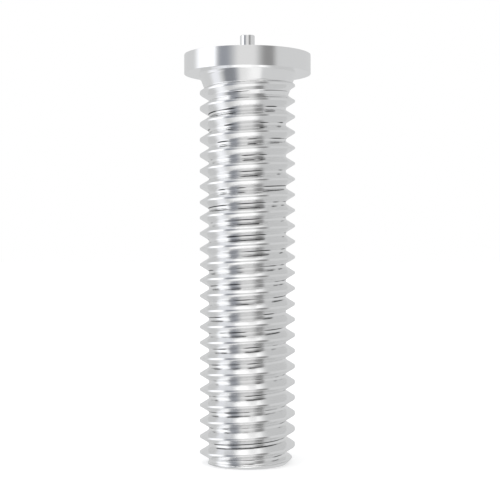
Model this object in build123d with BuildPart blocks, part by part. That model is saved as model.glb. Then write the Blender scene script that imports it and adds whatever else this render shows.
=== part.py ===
from build123d import *
from math import ceil, radians, tan
import os

# A capacitor-discharge weld stud, cold formed and thread rolled as one solid piece.
# It stands on its flat threaded end at z = 0, with the flange and the ignition tip on top.

# Shank and thread, in millimetres: a metric coarse thread of nominal size 5
shank_length = 19.96          # threaded end to the flange's underside
major_diameter = 4.90         # over the crests, a little under nominal as rolled
pitch = 0.8
flank_angle = 60.0            # included angle of the groove, degrees
end_chamfer = 0.43            # 45 degree lead-in at the threaded end
first_crest_height = 0.18     # lowest crest above the end face, on the +X side

# Neck under the flange, where the rolled groove runs out
neck_growth = 0.10            # how much wider than the crests it is at the flange's underside
runout_length = 1.40          # the root climbs from full depth to the neck over this length

# Flange, weld face and ignition tip
flange_diameter = 6.5
flange_thickness = 0.98       # at its rim
weld_face_angle = 3.0         # slope of the shallow cone, degrees
tip_diameter = 0.75
tip_length = 0.86             # above the weld face
tip_edge = 0.04               # small break on its end

# Thread form, from the pitch and the flank angle
crest_flat = pitch / 8
root_flat = pitch * 0.4        # wider than the rolled root, and so not as deep
half_flank = tan(radians(flank_angle / 2))
thread_depth = (pitch - crest_flat - root_flat) / 2 / half_flank
major_radius = major_diameter / 2
root_radius = major_radius - thread_depth

# Run-out cone. It goes on inside the rod, so that it meets the thread at a clean angle.
neck_radius = (major_diameter + neck_growth) / 2
cone_slope = (neck_radius - root_radius) / runout_length
cone_foot_radius = root_radius / 2
cone_foot_height = shank_length - (neck_radius - cone_foot_radius) / cone_slope

# Heights up the axis
rim_height = shank_length + flange_thickness
tip_radius = tip_diameter / 2
weld_face_rise = (flange_diameter / 2 - tip_radius) * tan(radians(weld_face_angle))
tip_base_height = rim_height + weld_face_rise
tip_top_height = tip_base_height + tip_length

# Two turns of the thread's groove, on a right-hand helix that starts below the threaded end.
# It stands proud of the crests by a quarter of the crest flat, so that turns never touch.
proud = crest_flat / 4 / half_flank
mouth = root_flat / 2 + (thread_depth + proud) * half_flank
groove_start = first_crest_height - 1.5 * pitch
groove_length = 2 * pitch
groove_count = ceil((shank_length + pitch / 2 - groove_start) / groove_length)

with BuildPart() as groove:
    with BuildLine():
        lead = Helix(pitch=pitch, height=groove_length, radius=root_radius, center=(0, 0, groove_start))
    with BuildSketch(Plane.XZ):
        with BuildLine():
            Polyline(
                (root_radius, groove_start - root_flat / 2),
                (major_radius + proud, groove_start - mouth),
                (major_radius + proud, groove_start + mouth),
                (root_radius, groove_start + root_flat / 2),
                close=True,
            )
        make_face()
    sweep(path=lead, is_frenet=True)

with BuildPart() as weld_stud:
    # Blank for the thread: a plain rod with a chamfered end, its top hidden in the flange
    with BuildSketch(Plane.XZ):
        with BuildLine():
            Polyline(
                (0, 0),
                (major_radius - end_chamfer, 0),
                (major_radius, end_chamfer),
                (major_radius, shank_length + flange_thickness / 2),
                (0, shank_length + flange_thickness / 2),
                close=True,
            )
        make_face()
    revolve(axis=Axis.Z)
    with Locations(*[(0, 0, count * groove_length) for count in range(groove_count)]):
        add(groove.part, mode=Mode.SUBTRACT)

    # Head: the run-out cone, the flange, the shallow weld face and the ignition tip
    with BuildSketch(Plane.XZ) as head:
        with BuildLine():
            Polyline(
                (0, cone_foot_height),
                (cone_foot_radius, cone_foot_height),
                (neck_radius, shank_length),
                (flange_diameter / 2, shank_length),
                (flange_diameter / 2, rim_height),
                (tip_radius, tip_base_height),
                (tip_radius, tip_top_height),
                (0, tip_top_height),
                close=True,
            )
        make_face()
        tip_corner = head.vertices().group_by(Axis.Y)[-1].sort_by(Axis.X)[-1]
        chamfer(tip_corner, length=tip_edge)
    revolve(axis=Axis.Z)

weld_stud.part.label = "weld_stud"

os.makedirs("parts", exist_ok=True)
export_step(weld_stud.part, "parts/weld_stud.step")
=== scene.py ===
import math

import bpy
import numpy as np
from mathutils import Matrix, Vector


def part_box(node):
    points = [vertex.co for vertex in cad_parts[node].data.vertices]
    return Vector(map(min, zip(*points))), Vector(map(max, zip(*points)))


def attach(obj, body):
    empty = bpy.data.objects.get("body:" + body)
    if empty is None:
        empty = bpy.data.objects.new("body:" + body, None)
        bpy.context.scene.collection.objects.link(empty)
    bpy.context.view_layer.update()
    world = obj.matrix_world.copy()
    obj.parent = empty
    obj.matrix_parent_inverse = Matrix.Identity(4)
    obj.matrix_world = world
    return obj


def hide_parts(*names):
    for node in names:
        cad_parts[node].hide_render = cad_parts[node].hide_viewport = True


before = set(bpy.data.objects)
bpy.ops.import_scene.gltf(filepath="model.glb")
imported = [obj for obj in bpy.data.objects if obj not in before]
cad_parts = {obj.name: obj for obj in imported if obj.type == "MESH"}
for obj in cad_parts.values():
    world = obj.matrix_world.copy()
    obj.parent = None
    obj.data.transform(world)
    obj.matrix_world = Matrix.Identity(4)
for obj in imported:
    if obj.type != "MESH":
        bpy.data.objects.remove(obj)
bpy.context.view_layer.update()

mm = 0.001
studLow, studHigh = (np.array(corner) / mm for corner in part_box("weld_stud"))

# The stud, in millimetres and degrees. Flange width and overall height come from the frame.
stud = {
    "pitch": 0.8,
    "crestDiameter": 4.894,
    "rootDiameter": 3.952,
    "crestFlat": 0.10,
    "flankAngle": 62.5,        # between the groove's two flanks
    "crestRound": 0.022,
    "rootRound": 0.11,
    "firstCrest": 0.177,       # height of the lowest crest on the +X side
    "endDiameter": 4.044,      # flat threaded end, inside its 45 degree lead
    "endRound": 0.04,
    "leadBlend": 0.06,         # width of the round where the lead cuts the crests
    "threadFoot": 0.02,        # below this height the end is a turned ring
    "threadTop": 19.86,        # above this height only the run-out cone is left
    "runoutBlend": 0.03,       # width of the round where the cone meets the thread
    "shankLength": 19.96,      # threaded end to the flange's underside
    "neckDiameter": 5.0,
    "neckSlope": 0.377,        # widening of the run-out cone's radius per millimetre of height
    "neckRound": 0.02,
    "flangeThickness": 0.98,
    "rimRound": 0.012,         # tiny breaks on the flange's two edges
    "weldFaceAngle": 3.0,
    "tipDiameter": 0.75,
    "tipRound": 0.035,         # at the tip's foot and on its end
    "columns": 144,            # steps round the axis
    "roundSteps": 3,           # steps over each round
    "flankSteps": 3,           # steps up each flank
}


def grooveForm():
    # From the flank angle and the rounds: the flank's slope, the angle that a round turns through, and
    # how far from the crest's middle the flat crest ends and the flat root starts.
    slope = math.tan(math.radians(stud["flankAngle"] / 2))
    turn = math.pi / 2 - math.atan(slope)
    depth = stud["crestDiameter"] / 2 - stud["rootDiameter"] / 2
    crestEnd = stud["crestFlat"] / 2 - stud["crestRound"] * math.tan(turn / 2)
    rootStart = stud["crestFlat"] / 2 + depth * slope + stud["rootRound"] * math.tan(turn / 2)
    return slope, turn, crestEnd, rootStart


def threadRadius(angle, height):
    # Distance from the nearest crest's middle along the axis sets the radius: flat crest, rounded
    # corner, straight flank, root round, flat root. A turn lifts the crest by one pitch.
    pitch = stud["pitch"]
    crest, root = stud["crestDiameter"] / 2, stud["rootDiameter"] / 2
    crestRound, rootRound = stud["crestRound"], stud["rootRound"]
    slope, turn, crestEnd, rootStart = grooveForm()
    lift = height - pitch * angle / (2 * math.pi) - stud["firstCrest"]
    away = np.abs((lift + pitch / 2) % pitch - pitch / 2)
    crestArc = crest - crestRound + np.sqrt(np.maximum(crestRound**2 - (away - crestEnd) ** 2, 0))
    rootArc = root + rootRound - np.sqrt(np.maximum(rootRound**2 - (rootStart - away) ** 2, 0))
    flank = crest - (away - stud["crestFlat"] / 2) / slope
    return np.select(
        [
            away < crestEnd,
            away < crestEnd + crestRound * math.sin(turn),
            away < rootStart - rootRound * math.sin(turn),
            away < rootStart,
        ],
        [np.full_like(away, crest), crestArc, flank, rootArc],
        root,
    )


def softMin(first, second, blend):
    # The lesser of two radii, with a round of the given width where they cross.
    share = np.clip(0.5 + 0.5 * (second - first) / blend, 0, 1)
    return second * (1 - share) + first * share - blend * share * (1 - share)


def shankRadius(angle, height):
    # Thread, cut down by the 45 degree lead at the end and filled out by the run-out cone at the neck.
    lead = stud["endDiameter"] / 2 + height
    cone = stud["neckDiameter"] / 2 - stud["neckSlope"] * (stud["shankLength"] - height)
    cut = softMin(threadRadius(angle, height), lead, stud["leadBlend"])
    return -softMin(-cut, -cone, stud["runoutBlend"])


def shankNormals(angle, height):
    # Outward direction from the radius function's own slopes, round the axis and up it.
    step = 1e-4
    radius = shankRadius(angle, height)
    around = (shankRadius(angle + step, height) - shankRadius(angle - step, height)) / (2 * step)
    up = (shankRadius(angle, height + step) - shankRadius(angle, height - step)) / (2 * step)
    outward = np.stack([np.cos(angle), np.sin(angle), np.zeros_like(angle)], -1)
    sideways = np.stack([-np.sin(angle), np.cos(angle), np.zeros_like(angle)], -1)
    normals = outward - sideways * (around / radius)[..., None]
    normals[..., 2] -= up
    return normals / np.linalg.norm(normals, axis=-1, keepdims=True)


def roundedOutline(corners):
    # Points (radius, height) joined by straight runs, with each inner corner turned by an arc of its
    # own radius. Returns places and outward directions along the outline.
    points = np.array([corner[:2] for corner in corners], float)
    runs = np.diff(points, axis=0)
    runs /= np.linalg.norm(runs, axis=1)[:, None]
    outward = np.stack([runs[:, 1], -runs[:, 0]], 1)
    places, directions = [points[:1]], [outward[:1]]
    for index in range(1, len(points) - 1):
        before, after = runs[index - 1], runs[index]
        bend = math.atan2(before[0] * after[1] - before[1] * after[0], before @ after)
        radius = corners[index][2]
        start = points[index] - before * radius * math.tan(abs(bend) / 2)
        side = math.copysign(1, bend)
        centre = start - outward[index - 1] * radius * side
        startAngle = math.atan2(outward[index - 1][1], outward[index - 1][0])
        turned = startAngle + bend * np.linspace(0, 1, stud["roundSteps"] + 1)
        facing = np.stack([np.cos(turned), np.sin(turned)], 1)
        places.append(centre + facing * radius * side)
        directions.append(facing)
    places.append(points[-1:])
    directions.append(outward[-1:])
    return np.concatenate(places), np.concatenate(directions)


def endOutline():
    # Half section from the middle of the threaded end to the thread's foot.
    endRadius, foot = stud["endDiameter"] / 2, stud["threadFoot"]
    return roundedOutline([(0, 0), (endRadius, 0, stud["endRound"]), (endRadius + foot, foot)])


def headOutline():
    # Half section from the thread's top over neck, flange and weld face to the middle of the tip.
    neckRadius, tipRadius = stud["neckDiameter"] / 2, stud["tipDiameter"] / 2
    flangeRadius = min(*-studLow[:2], *studHigh[:2])
    coneRadius = neckRadius - stud["neckSlope"] * (stud["shankLength"] - stud["threadTop"])
    rimHeight = stud["shankLength"] + stud["flangeThickness"]
    faceRise = (flangeRadius - tipRadius) * math.tan(math.radians(stud["weldFaceAngle"]))
    return roundedOutline(
        [
            (coneRadius, stud["threadTop"]),
            (neckRadius, stud["shankLength"], stud["neckRound"]),
            (flangeRadius, stud["shankLength"], stud["rimRound"]),
            (flangeRadius, rimHeight, stud["rimRound"]),
            (tipRadius, rimHeight + faceRise, stud["tipRound"]),
            (tipRadius, studHigh[2], stud["tipRound"]),
            (0, studHigh[2]),
        ]
    )


def threadRows():
    # Heights at which the thread's rows start on the +X side, close together in the rounds, from below
    # the foot to the top, and how many of them make one pitch.
    pitch = stud["pitch"]
    _, turn, crestEnd, rootStart = grooveForm()
    points = stud["roundSteps"] + 1
    crestTurns = crestEnd + stud["crestRound"] * np.sin(turn * np.linspace(0, 1, points))
    rootTurns = rootStart - stud["rootRound"] * np.sin(turn * np.linspace(1, 0, points))
    flank = np.linspace(crestTurns[-1], rootTurns[0], stud["flankSteps"] + 1)[1:-1]
    half = np.concatenate([crestTurns, flank, rootTurns])
    onePitch = np.concatenate([half, pitch - half[::-1]])
    firstTurn = math.floor(stud["threadFoot"] / pitch) - 2
    lastTurn = math.ceil(stud["threadTop"] / pitch)
    turns = np.arange(firstTurn, lastTurn + 1)
    rows = (stud["firstCrest"] + turns[:, None] * pitch + onePitch).ravel()
    return rows, len(onePitch)


def spunPlaces(radius, angle, height):
    # Radius and angle round the axis to x and y, with the height as z.
    return np.stack([radius * np.cos(angle), radius * np.sin(angle), height], -1)


def spunRings(outline, facing, angle):
    # An outline turned round the axis: radius, height and outward direction at every angle.
    radius = outline[:, :1] + np.zeros_like(angle)
    height = outline[:, 1:] + np.zeros_like(angle)
    facingOut = facing[:, :1, None] * np.stack([np.cos(angle), np.sin(angle), 0 * angle], -1)
    facingUp = facing[:, 1:, None] * np.array([0, 0, 1.0])
    return radius, height, facingOut + facingUp


def sheetFaces(grid):
    # Two triangles for each cell of a grid of vertex numbers.
    a, b, c, d = grid[:-1, :-1], grid[:-1, 1:], grid[1:, 1:], grid[1:, :-1]
    lower = np.stack([a, b, c], -1).reshape(-1, 3)
    upper = np.stack([a, c, d], -1).reshape(-1, 3)
    return np.concatenate([lower, upper])


def closedGrid(ids):
    # Rings of vertex numbers with their first column once more at the end.
    return np.concatenate([ids, ids[:, :1]], 1)


def buildStud():
    # The thread is one sheet whose rows climb a pitch with each turn. It is held between a foot and a
    # top height, where it meets rings that are turned round the axis, and a fan closes each pole.
    columns, bottom, top = stud["columns"], stud["threadFoot"], stud["threadTop"]
    angle = np.arange(columns) * 2 * math.pi / columns

    # each row of the thread ends one turn on, where the row a pitch higher starts
    rows, rowsPerPitch = threadRows()
    angleGrid = np.broadcast_to(angle, (len(rows), columns))
    free = rows[:, None] + stud["pitch"] * angleGrid / (2 * math.pi)
    height = np.clip(free, bottom, top)
    thread = spunPlaces(shankRadius(angleGrid, height), angleGrid, height)
    threadNormals = shankNormals(angleGrid, height)

    # rings below the thread, held inside the groove where it reaches the end face
    outline, facing = endOutline()
    belowRadius, belowHeight, belowNormals = spunRings(outline[1:], facing[1:], angle)
    inGroove = threadRadius(angle + np.zeros_like(belowRadius), belowHeight)
    belowRadius = np.minimum(belowRadius, inGroove)
    belowRadius[-1] = shankRadius(angle, belowHeight[-1])
    belowNormals[-1] = shankNormals(angle, belowHeight[-1])
    below = spunPlaces(belowRadius, angle, belowHeight)

    # rings above the thread
    outline, facing = headOutline()
    aboveRadius, aboveHeight, aboveNormals = spunRings(outline[:-1], facing[:-1], angle)
    aboveRadius[0] = shankRadius(angle, aboveHeight[0])
    aboveNormals[0] = shankNormals(angle, aboveHeight[0])
    above = spunPlaces(aboveRadius, angle, aboveHeight)

    poles = np.array([[0, 0, 0], [0, 0, studHigh[2]]])
    poleNormals = np.array([[0, 0, -1.0], [0, 0, 1.0]])
    places = np.concatenate([part.reshape(-1, 3) for part in (thread, below, above, poles)])
    facings = (threadNormals, belowNormals, aboveNormals, poleNormals)
    normals = np.concatenate([part.reshape(-1, 3) for part in facings])

    # numbers of the vertices; rows held at the foot or top share the ring that closes the thread there
    threadCount = len(rows) * columns
    ids = np.arange(threadCount).reshape(-1, columns)
    belowIds = threadCount + np.arange(len(below) * columns).reshape(-1, columns)
    aboveIds = belowIds[-1, -1] + 1 + np.arange(len(above) * columns).reshape(-1, columns)
    lowPole, highPole = len(places) - 2, len(places) - 1
    ids = np.where(free <= bottom, belowIds[-1], np.where(free >= top, aboveIds[0], ids))
    threadGrid = np.concatenate([ids[:-rowsPerPitch], ids[rowsPerPitch:, :1]], 1)
    belowGrid, aboveGrid = closedGrid(belowIds), closedGrid(aboveIds)
    lowFan = np.stack([np.full(columns, lowPole), belowGrid[0, 1:], belowGrid[0, :-1]], -1)
    highFan = np.stack([np.full(columns, highPole), aboveGrid[-1, :-1], aboveGrid[-1, 1:]], -1)
    sheets = [sheetFaces(grid) for grid in (threadGrid, belowGrid, aboveGrid)]
    faces = np.concatenate([*sheets, lowFan, highFan])

    # cells held at the foot or top have shrunk to nothing, and they and their vertices are left out
    shrunk = (faces[:, 0] == faces[:, 1]) | (faces[:, 1] == faces[:, 2]) | (faces[:, 2] == faces[:, 0])
    used, faces = np.unique(faces[~shrunk], return_inverse=True)
    faces = faces.reshape(-1, 3)
    places, normals = places[used] * mm, normals[used]

    mesh = bpy.data.meshes.new("threadedStud")
    mesh.from_pydata(places.tolist(), [], faces.tolist())
    mesh.shade_smooth()
    mesh.normals_split_custom_set_from_vertices(normals.tolist())
    mesh.update()
    piece = bpy.data.objects.new("threadedStud", mesh)
    bpy.context.scene.collection.objects.link(piece)
    print("stud:", len(places), "vertices,", len(faces), "triangles")
    return piece


class Socket:
    # Wraps a node socket, so that shader maths reads as plain expressions.
    def __init__(self, tree, output):
        self.tree = tree
        self.output = output

    def math(self, operation, *values):
        return addNode(self.tree, "ShaderNodeMath", {"operation": operation}, values)

    def __add__(self, other):
        return self.math("ADD", self, other)

    def __radd__(self, other):
        return self.math("ADD", other, self)

    def __sub__(self, other):
        return self.math("SUBTRACT", self, other)

    def __rsub__(self, other):
        return self.math("SUBTRACT", other, self)

    def __mul__(self, other):
        return self.math("MULTIPLY", self, other)

    def __rmul__(self, other):
        return self.math("MULTIPLY", other, self)

    def __truediv__(self, other):
        return self.math("DIVIDE", self, other)

    def __rtruediv__(self, other):
        return self.math("DIVIDE", other, self)

    def __neg__(self):
        return self.math("MULTIPLY", self, -1)


def addNode(tree, kind, settings=None, values=(), output=0):
    # Adds a node, sets it up, then feeds its sockets with values or links. The values are a list, or a
    # dictionary by socket name or number, and the output to use is a name or number too.
    node = tree.nodes.new(kind)
    for name, value in (settings or {}).items():
        setattr(node, name, value)
    pairs = values.items() if isinstance(values, dict) else enumerate(values)
    for name, value in pairs:
        socket = node.inputs[name]
        if isinstance(value, Socket):
            tree.links.new(value.output, socket)
        else:
            socket.default_value = value
    return Socket(tree, node.outputs[output]) if node.outputs else None


def smoothStep(value, start, full):
    # Nothing at the start, one where it is full, with a smooth change between them.
    return addNode(
        value.tree,
        "ShaderNodeMapRange",
        {"interpolation_type": "SMOOTHSTEP"},
        {0: value, 1: start, 2: full, 3: 0.0, 4: 1.0},
    )


def window(value, start, full, end, gone):
    # Rises smoothly from start to full and falls from end to gone.
    return smoothStep(value, start, full) * smoothStep(value, gone, end)


def blendColors(factor, first, second):
    # The first colour where the factor is nothing and the second where it is one. The Mix node's
    # sockets 6 and 7 and its output 2 are the ones for colours.
    return addNode(
        factor.tree,
        "ShaderNodeMix",
        {"data_type": "RGBA"},
        {0: factor, 6: first, 7: second},
        output=2,
    )


def displayToLight(level):
    # Display level from 0 to 1 to the light that gives it, by the usual display curve.
    return level / 12.92 if level <= 0.04045 else ((level + 0.055) / 1.055) ** 2.4


# Bright rolled stainless steel: almost a mirror, with faint lines round it from the rolling dies. Painted
# shade: thin dark lines in the root's round under each crest, broken up by noise, stand in for the
# thread's inner corner going dark. Noise scales are waves per metre along x, y and z, and detail is the
# number of finer layers.
steel = {
    "color": (0.90, 0.90, 0.90),
    "roughness": 0.10,
    "roughnessSpread": 0.16,          # more roughness where lines and clouds are both strong
    "noisePlace": (1.2, 9.6, 4.4),    # where in the noise the stud lies
    "lines": {"scale": (300, 300, 6000), "detail": 3.0},
    "lineHeight": 0.0015,             # millimetres
    "lineStrength": 0.25,
    "clouds": {"scale": (900, 900, 900), "detail": 2.0},
    "rootShadeColor": (0.005, 0.005, 0.006),
    "rootShadePlace": -0.41,              # in pitches from the crest's middle, negative is below the crest
    "rootShadeHalf": 0.024,               # half width in pitches at the thickest
    "rootShadeFade": 0.009,               # soft edge outside it, in pitches
    "rootShadeNoise": {"scale": (900, 900, 2600), "detail": 1.0},
    "rootShadeBreaks": (0.43, 0.56),      # noise levels between which a painted shade line comes in and thickens
    "rootShadeTaper": 0.3,                # share of that rise over which its ends darken
    "rootShadeFaint": (-118, 0.05),       # where it is faintest, in degrees from +X, and noise taken off there
    "rootShadeReach": (2.25, 2.12),       # millimetres from the axis: none at the first, full at the second
    "rootShadeSpan": (0.38, 0.52, 18.8, 19.1),  # heights in millimetres, as start, full, end and gone
}


def makeSteel():
    material = bpy.data.materials.new("brightStainless")
    material.use_nodes = True
    tree = material.node_tree
    tree.nodes.clear()
    place = addNode(tree, "ShaderNodeTexCoord", output="Object")
    across, along, up = [addNode(tree, "ShaderNodeSeparateXYZ", {}, [place], axis) for axis in "XYZ"]

    def noise(pattern):
        spread = {"Vector": place, "Location": steel["noisePlace"], "Scale": pattern["scale"]}
        stretched = addNode(tree, "ShaderNodeMapping", {}, spread)
        values = {"Vector": stretched, "Scale": 1.0, "Detail": pattern["detail"]}
        return addNode(tree, "ShaderNodeTexNoise", {}, values)

    # height over the nearest crest's middle, in pitches: a turn round the axis lifts the crest by one
    turns = along.math("ARCTAN2", along, across) / (2 * math.pi)
    lift = up / (stud["pitch"] * mm) - turns - stud["firstCrest"] / stud["pitch"] + 0.5
    away = lift.math("FRACT", lift) - 0.5
    offRootShade = away.math("ABSOLUTE", away - steel["rootShadePlace"])
    squared = across * across + along * along
    fromAxis = squared.math("SQRT", squared) / mm

    # how full the painted shade line is along the groove, less on its faint side
    faintSide, fainter = steel["rootShadeFaint"]
    side = turns.math("COSINE", (turns - faintSide / 360) * (2 * math.pi))
    fullness = noise(steel["rootShadeNoise"]) - fainter * side.math("MAXIMUM", side, 0)
    broken = smoothStep(fullness, *steel["rootShadeBreaks"])
    band = smoothStep(offRootShade - steel["rootShadeHalf"] * broken, steel["rootShadeFade"], 0.0)
    ends = smoothStep(broken, 0.0, steel["rootShadeTaper"])
    inGroove = smoothStep(fromAxis, *steel["rootShadeReach"])
    onThread = window(up / mm, *steel["rootShadeSpan"])
    # painted shade: dark lines in the root's round, where the thread's inner corner goes dark
    paintedRootShade = band * ends * inGroove * onThread
    color = blendColors(paintedRootShade, (*steel["color"], 1), (*steel["rootShadeColor"], 1))

    lines = noise(steel["lines"])
    clouds = noise(steel["clouds"])
    rough = steel["roughness"] + steel["roughnessSpread"] * (lines * clouds)
    relief = {"Strength": steel["lineStrength"], "Distance": steel["lineHeight"] * mm, "Height": lines}
    bump = addNode(tree, "ShaderNodeBump", {}, relief)
    shader = addNode(
        tree,
        "ShaderNodeBsdfPrincipled",
        {},
        {"Base Color": color, "Metallic": 1.0, "Roughness": rough, "Normal": bump},
    )
    addNode(tree, "ShaderNodeOutputMaterial", {}, {"Surface": shader})
    print("steel ready")
    return material


# The studio as the metal sees it: grey walls, a tall softbox on the left, a dark flag on each side of
# the camera, and bright boards above and below the view. Azimuths are in degrees from the camera,
# positive to the right, and elevations in degrees up. Each panel comes in between its first two
# values and goes out between its last two, and its level is as displayed in red, green and blue.
# A later panel covers the ones before it.
studio = {
    "wall": (0.797, 0.800, 0.802),
    "panels": {
        "leftGlow": {
            "azimuth": (-112, -94, -84, -68),
            "elevation": (-66, -50, 50, 66),
            "level": (0.920, 0.926, 0.942),
        },
        "frontWall": {
            "azimuth": (-34, -14, 8, 34),
            "elevation": (-60, -46, 46, 60),
            "level": (0.857, 0.857, 0.857),
        },
        "overhead": {
            "azimuth": (-90, -60, 18, 52),
            "elevation": (36, 54, 90, 91),
            "level": (1.15, 1.15, 1.15),
        },
        "lowBoard": {
            "azimuth": (-66, -30, 28, 80),
            "elevation": (-91, -90, -46, -31),
            "level": (1.15, 1.15, 1.15),
        },
        "lowLeft": {
            "azimuth": (-98, -78, -62, -38),
            "elevation": (-66, -58, -44, -34),
            "level": (0.93, 0.94, 0.96),
        },
        "lowStrip": {
            "azimuth": (-12, 18, 30, 44),
            "elevation": (-58, -48, -34, -22),
            "level": (0.98, 0.98, 0.98),
        },
        "softbox": {
            "azimuth": (-117, -82, -62, -50),
            "elevation": (-20, -6, 25, 38),
            "level": (1.06, 1.065, 1.075),
        },
        "leftFlag": {
            "azimuth": (-66, -46, -41, -13),
            "elevation": (-50, -34, 30, 42),
            "level": (0.572, 0.584, 0.610),
        },
        "flagFoot": {
            "azimuth": (-74, -56, -42, -22),
            "elevation": (-41, -32, -22, -8),
            "level": (0.515, 0.525, 0.545),
        },
        "rightFlag": {
            "azimuth": (10, 35, 43, 58),
            "elevation": (-26, -14, 34, 46),
            "level": (0.555, 0.555, 0.555),
        },
    },
    "page": (1, 1, 1),    # what the camera sees behind the stud
}


def makeWorld():
    world = bpy.data.worlds.new("studio")
    bpy.context.scene.world = world
    world.use_nodes = True
    tree = world.node_tree
    tree.nodes.clear()
    direction = addNode(tree, "ShaderNodeTexCoord", output="Generated")
    right, away, up = [addNode(tree, "ShaderNodeSeparateXYZ", {}, [direction], axis) for axis in "XYZ"]
    azimuth = right.math("ARCTAN2", right, -away) * math.degrees(1)
    elevation = up.math("ARCSINE", up) * math.degrees(1)

    def asLight(level):
        # the light that the steel reflects as this level
        return (*[displayToLight(part) / share for part, share in zip(level, steel["color"])], 1)

    color = asLight(studio["wall"])
    for panel in studio["panels"].values():
        mask = window(azimuth, *panel["azimuth"]) * window(elevation, *panel["elevation"])
        color = blendColors(mask, color, asLight(panel["level"]))
    seen = addNode(tree, "ShaderNodeLightPath", output="Is Camera Ray")
    lit = addNode(tree, "ShaderNodeBackground", {}, {"Color": color, "Strength": 1.0})
    page = addNode(tree, "ShaderNodeBackground", {}, {"Color": (*studio["page"], 1), "Strength": 1.0})
    both = addNode(tree, "ShaderNodeMixShader", {}, [seen, lit, page])
    addNode(tree, "ShaderNodeOutputWorld", {}, {"Surface": both})
    print("studio light ready")


# The floor: half width in metres, its paint, the glow that keeps it white on the page, and how far it
# lies under the stud's end face, in millimetres, so that the two don't flicker.
floor = {"reach": 1.0, "paint": 0.9, "glow": 0.42, "drop": 0.005}


def makeFloor():
    # One square, from minus to plus its reach. From below it is clear, so that the stud's end shows.
    reach, height = floor["reach"], -floor["drop"] * mm
    corners = [(x * reach, y * reach, height) for x, y in ((-1, -1), (1, -1), (1, 1), (-1, 1))]
    mesh = bpy.data.meshes.new("floor")
    mesh.from_pydata(corners, [], [(0, 1, 2, 3)])
    sheet = bpy.data.objects.new("floor", mesh)
    bpy.context.scene.collection.objects.link(sheet)
    material = bpy.data.materials.new("paleFloor")
    material.use_nodes = True
    tree = material.node_tree
    tree.nodes.clear()
    paint = addNode(tree, "ShaderNodeBsdfDiffuse", {}, {"Color": (*[floor["paint"]] * 3, 1)})
    glow = addNode(tree, "ShaderNodeEmission", {}, {"Color": (1, 1, 1, 1), "Strength": floor["glow"]})
    both = addNode(tree, "ShaderNodeAddShader", {}, [paint, glow])
    clear = addNode(tree, "ShaderNodeBsdfTransparent")
    fromBelow = addNode(tree, "ShaderNodeNewGeometry", output="Backfacing")
    oneSided = addNode(tree, "ShaderNodeMixShader", {}, [fromBelow, both, clear])
    addNode(tree, "ShaderNodeOutputMaterial", {}, {"Surface": oneSided})
    mesh.materials.append(material)
    sheet.visible_glossy = False
    print("floor ready")


# The camera, in millimetres: level, in front of the stud, at half the picture's height.
camera = {"place": (0.1324, -62.97, 10.934), "lens": 88.2, "sensor": 36, "near": 1, "far": 10000}


def makeCamera():
    data = bpy.data.cameras.new("camera")
    data.lens = camera["lens"]
    data.sensor_width = camera["sensor"]
    data.clip_start = camera["near"] * mm
    data.clip_end = camera["far"] * mm
    viewer = bpy.data.objects.new("camera", data)
    viewer.location = Vector(camera["place"]) * mm
    viewer.rotation_euler = (math.radians(90), 0, 0)
    bpy.context.scene.collection.objects.link(viewer)
    bpy.context.scene.camera = viewer
    print("camera ready")


bpy.context.scene.view_settings.view_transform = "Standard"
makeCamera()
piece = buildStud()
piece.data.materials.append(makeSteel())
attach(piece, "root")
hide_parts("weld_stud")
makeWorld()
makeFloor()
